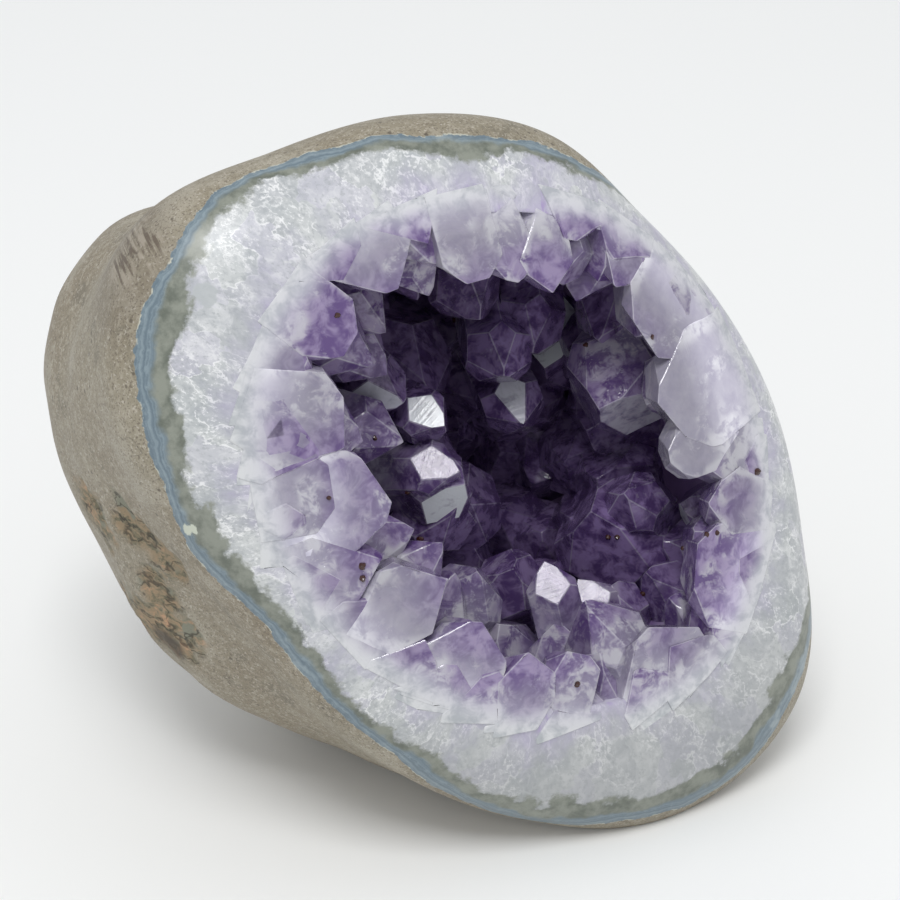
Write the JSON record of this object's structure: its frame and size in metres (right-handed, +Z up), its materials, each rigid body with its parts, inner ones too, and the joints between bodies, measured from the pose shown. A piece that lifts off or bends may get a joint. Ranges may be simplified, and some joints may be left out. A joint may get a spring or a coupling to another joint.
{
  "type": "amethyst geode",
  "caption": "Domed, polished geode of brown rock and white quartz with a deep hollow lined with six-sided purple crystals, standing on a flat ground base.",
  "frame": {"origin": "middle of the bounding box's bottom, in the plane of the ground base", "axes": "+Z up, -Y towards the hollow's mouth, which leans back about 19 degrees, +X to the right as seen from the front"},
  "size_m": [0.1166, 0.0954, 0.114],
  "materials": {
    "stone": "satin brown rock outside, polished white quartz in front",
    "amethyst": "clear purple crystal faces, paler towards the rim"
  },
  "bodies": {
    "root": {"geode_stone": "stone", "crystal_crust": "amethyst"}
  },
  "joints": []
}
